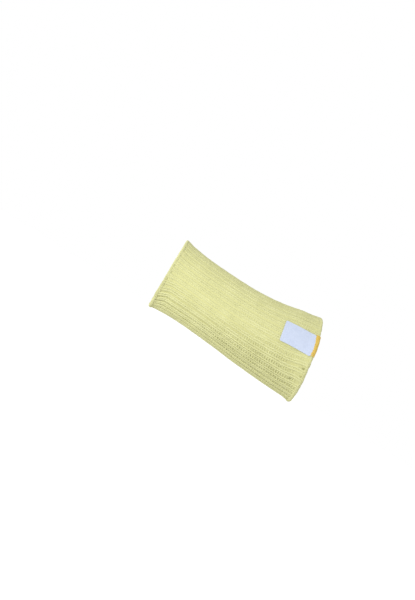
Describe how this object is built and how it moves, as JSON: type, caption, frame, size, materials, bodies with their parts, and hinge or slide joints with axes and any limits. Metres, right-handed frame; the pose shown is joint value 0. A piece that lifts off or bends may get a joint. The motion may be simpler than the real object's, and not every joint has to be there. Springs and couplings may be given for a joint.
{
  "type": "cut-resistant wristband",
  "caption": "Rib-knit cut-resistant wristband: a tapered forearm tube with rolled end welts and a plain cloth label oversewn at the elbow end.",
  "frame": {"origin": "on the forearm's axis at the middle of the wristband's length, where the forearm holds it", "axes": "+X along the forearm from the wrist to the elbow; -Y the palm side, with the label; +Z the thumb side"},
  "size_m": [0.1898, 0.0903, 0.0976],
  "materials": {
    "knit_yarn": "matte spun aramid yarn, pale yellow",
    "welt_yarn": "matte spun yarn, pale yellow, a little lighter",
    "label_cloth": "woven satin tape, cool white, bare",
    "label_thread": "twisted sewing thread, golden yellow"
  },
  "bodies": {
    "root": {"knit_sleeve": "knit_yarn", "wrist_welt": "welt_yarn", "elbow_welt": "welt_yarn", "label": "label_cloth", "label_stitching": "label_thread"}
  },
  "joints": []
}
